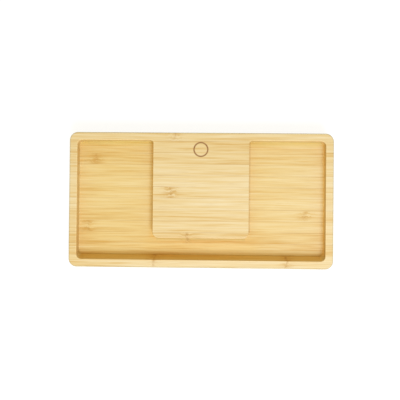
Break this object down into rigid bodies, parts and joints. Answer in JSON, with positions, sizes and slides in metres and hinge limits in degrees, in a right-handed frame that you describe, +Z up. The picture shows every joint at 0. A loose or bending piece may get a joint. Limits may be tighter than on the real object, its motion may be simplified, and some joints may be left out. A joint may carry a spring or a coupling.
{
  "type": "wireless charger",
  "caption": "Bamboo desk tray with a raised charging pad between open wells, a coil and circuit board under the pad, and a cable socket in its back edge.",
  "frame": {"origin": "on the desk, below the middle of the tray's outline, level with the undersides of the feet", "axes": "+X along the tray's length, +Y towards the back edge with the cable socket, +Z up through the charging pad"},
  "size_m": [0.254, 0.13, 0.0216],
  "materials": {
    "bamboo": "satin",
    "cover_plastic": "matte",
    "screw_steel": "satin",
    "foot_rubber": "matte",
    "adhesive_film": "satin",
    "copper_wire": "satin",
    "ferrite": "matte",
    "foam": "matte",
    "board": "satin",
    "socket_steel": "satin",
    "socket_plastic": "matte",
    "chip": "matte",
    "crystal_steel": "satin",
    "lamp": "gloss",
    "inductor": "matte",
    "capacitor_ceramic": "satin",
    "can_aluminium": "satin"
  },
  "bodies": {
    "root": {"tray_body": "bamboo", "base_cover": "cover_plastic", "cover_screw_1": "screw_steel", "cover_screw_2": "screw_steel", "cover_screw_3": "screw_steel", "cover_screw_4": "screw_steel", "foot_1": "foot_rubber", "foot_2": "foot_rubber", "foot_3": "foot_rubber", "foot_4": "foot_rubber", "coil_adhesive_film": "adhesive_film", "transmitter_coil": "copper_wire", "ferrite_plate": "ferrite", "coil_foam_block": "foam", "circuit_board": "board", "board_screw_1": "screw_steel", "board_screw_2": "screw_steel", "board_screw_3": "screw_steel", "board_screw_4": "screw_steel", "usb_socket_shell": "socket_steel", "usb_socket_tongue": "socket_plastic", "indicator_led": "lamp", "controller_chip": "chip", "clock_crystal": "crystal_steel", "bridge_chip_1": "chip", "bridge_chip_2": "chip", "resonant_capacitor_1": "capacitor_ceramic", "resonant_capacitor_2": "capacitor_ceramic", "resonant_capacitor_3": "capacitor_ceramic", "resonant_capacitor_4": "capacitor_ceramic", "input_capacitor_1": "can_aluminium", "input_capacitor_2": "can_aluminium", "power_inductor": "inductor", "sense_resistor": "chip"}
  },
  "joints": []
}
